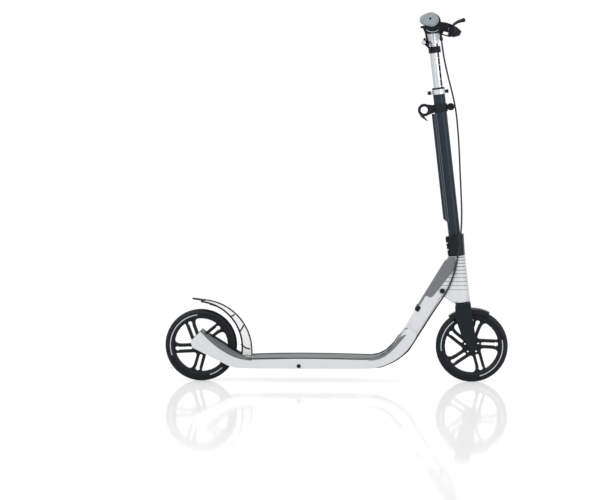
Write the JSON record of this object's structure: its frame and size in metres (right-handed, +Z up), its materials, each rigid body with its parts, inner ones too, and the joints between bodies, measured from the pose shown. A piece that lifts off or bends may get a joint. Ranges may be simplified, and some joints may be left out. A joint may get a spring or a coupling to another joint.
{
  "type": "kick scooter",
  "caption": "Folding kick scooter with large wheels, long padded deck, bent neck with a fold joint, height-adjustable T-bar, hand brake on a cable and a carry hook.",
  "frame": {"origin": "on the ground, midway between the two wheel axles, on the centre plane", "axes": "+X forward, +Y to the rider's left, +Z up along the height of the steering column"},
  "size_m": [0.9766, 0.4816, 1.0477],
  "materials": {
    "deck_white": "satin white paint",
    "fender_white": "satin white moulding",
    "mat_grey": "grey rubber with a fine grain",
    "steel": "bright steel",
    "black_steel": "black oxide",
    "cable_black": "smooth black cable cover",
    "tyre": "matt black polyurethane",
    "wheel_black": "matt black nylon",
    "black_plastic": "matt black plastic",
    "rubber_black": "black rubber",
    "fork_black": "satin black paint",
    "stem_blue_black": "satin blue-black paint",
    "silver": "satin anodised aluminium",
    "grip_rubber": "soft grey rubber"
  },
  "bodies": {
    "deck": {"deck_frame": "deck_white", "grip_mat": "mat_grey", "rear_axle": "steel", "rear_spacers": "steel", "fold_bolt": "steel", "fender_pin": "steel", "kickstand_bolt": "black_steel", "cable_deck": "cable_black"},
    "rear_wheel": {"rear_tyre": "tyre", "rear_rim": "wheel_black", "rear_bearings": "steel"},
    "fender": {"fender": "fender_white", "fender_catch": "black_plastic", "brake_pad": "rubber_black"},
    "kickstand": {"kickstand": "black_steel", "kickstand_foot": "rubber_black"},
    "neck": {"neck_frame": "deck_white", "neck_cover": "mat_grey", "neck_buffer": "rubber_black", "headset_bearings": "steel", "fold_bushes": "black_plastic", "cable_fold": "cable_black", "cable_head": "cable_black"},
    "fold_button": {"fold_button": "black_plastic"},
    "steerer": {"fork": "fork_black", "front_mudguard": "black_plastic", "front_axle": "steel", "front_axle_nut": "steel", "front_spacers": "steel", "stem_tube": "stem_blue_black", "stem_fairing": "stem_blue_black", "head_clamp": "fork_black", "clamp_bolts": "black_steel", "carry_hook": "black_plastic", "hook_screw": "black_steel", "height_collar": "silver", "collar_skewer": "black_steel", "tube_shim": "black_plastic"},
    "height_lever": {"height_lever": "silver"},
    "height_button": {"height_button": "black_plastic"},
    "front_wheel": {"front_tyre": "tyre", "front_rim": "wheel_black", "front_bearings": "steel"},
    "tbar": {"bar_tube": "silver", "bar_collar": "black_plastic", "bar_head": "silver", "bar_clamp": "black_plastic", "clamp_screws": "black_steel", "bar_skewer": "silver", "handlebar": "silver", "grip_right": "grip_rubber", "grip_left": "grip_rubber", "brake_bracket": "fork_black", "lever_pin": "steel", "barrel_adjuster": "steel", "cable_upper": "cable_black"},
    "brake_lever": {"brake_lever": "fork_black"},
    "bar_lever": {"bar_lever": "black_plastic"}
  },
  "joints": [
    {"name": "rear_wheel_spin", "type": "hinge", "parent": "deck", "child": "rear_wheel", "pos_m": [-0.3858, 0, 0.1025], "axis": [0, 1, 0], "continuous": true},
    {"name": "front_wheel_spin", "type": "hinge", "parent": "steerer", "child": "front_wheel", "pos_m": [0.3858, 0, 0.1025], "axis": [0, 1, 0], "continuous": true},
    {"name": "fold", "type": "hinge", "parent": "deck", "child": "neck", "pos_m": [0.2155, 0, 0.1195], "axis": [0, -1, 0], "range_deg": [0, 83.4], "deforming": ["cable_fold"]},
    {"name": "steering", "type": "hinge", "parent": "neck", "child": "steerer", "pos_m": [0.34193, 0, 0.36098], "axis": [-0.1141, 0, 0.9935], "range_deg": [-45, 45], "deforming": ["cable_head"]},
    {"name": "bar_height", "type": "slide", "parent": "steerer", "child": "tbar", "axis": [-0.1141, 0, 0.9935], "range_m": [-0.095, 0.07], "deforming": ["cable_upper"]},
    {"name": "brake_squeeze", "type": "hinge", "parent": "tbar", "child": "brake_lever", "pos_m": [0.32157, -0.098, 0.99864], "axis": [-0.4454, 0, -0.8953], "range_deg": [0, 20], "stiffness_Nm_per_rad": 0.6, "springref_deg": -11.46},
    {"name": "fender_press", "type": "hinge", "parent": "deck", "child": "fender", "pos_m": [-0.254, 0, 0.075], "axis": [0, -1, 0], "range_deg": [0, 5.6], "stiffness_Nm_per_rad": 4, "springref_deg": -5.73},
    {"name": "kickstand_swing", "type": "hinge", "parent": "deck", "child": "kickstand", "pos_m": [-0.105, -0.041, 0.05], "axis": [0, 1, 0], "range_deg": [0, 100]},
    {"name": "fold_button_press", "type": "slide", "parent": "neck", "child": "fold_button", "axis": [0, 1, 0], "range_m": [0, 0.0035], "stiffness_N_per_m": 600, "springref_m": -0.002},
    {"name": "height_lever_swing", "type": "hinge", "parent": "steerer", "child": "height_lever", "pos_m": [0.26244, 0.02, 0.82092], "axis": [-0.1141, 0, 0.9935], "range_deg": [0, 140]},
    {"name": "height_button_press", "type": "slide", "parent": "steerer", "child": "height_button", "axis": [-0.9935, 0, -0.1141], "range_m": [0, 0.0025], "stiffness_N_per_m": 600, "springref_m": -0.002},
    {"name": "bar_lever_swing", "type": "hinge", "parent": "tbar", "child": "bar_lever", "pos_m": [0.24652, 0, 0.96403], "axis": [0, 1, 0], "range_deg": [0, 110]}
  ],
  "couplings": [
    {"joint": "fender_press", "follows": "brake_squeeze", "ratio": 0.28}
  ]
}
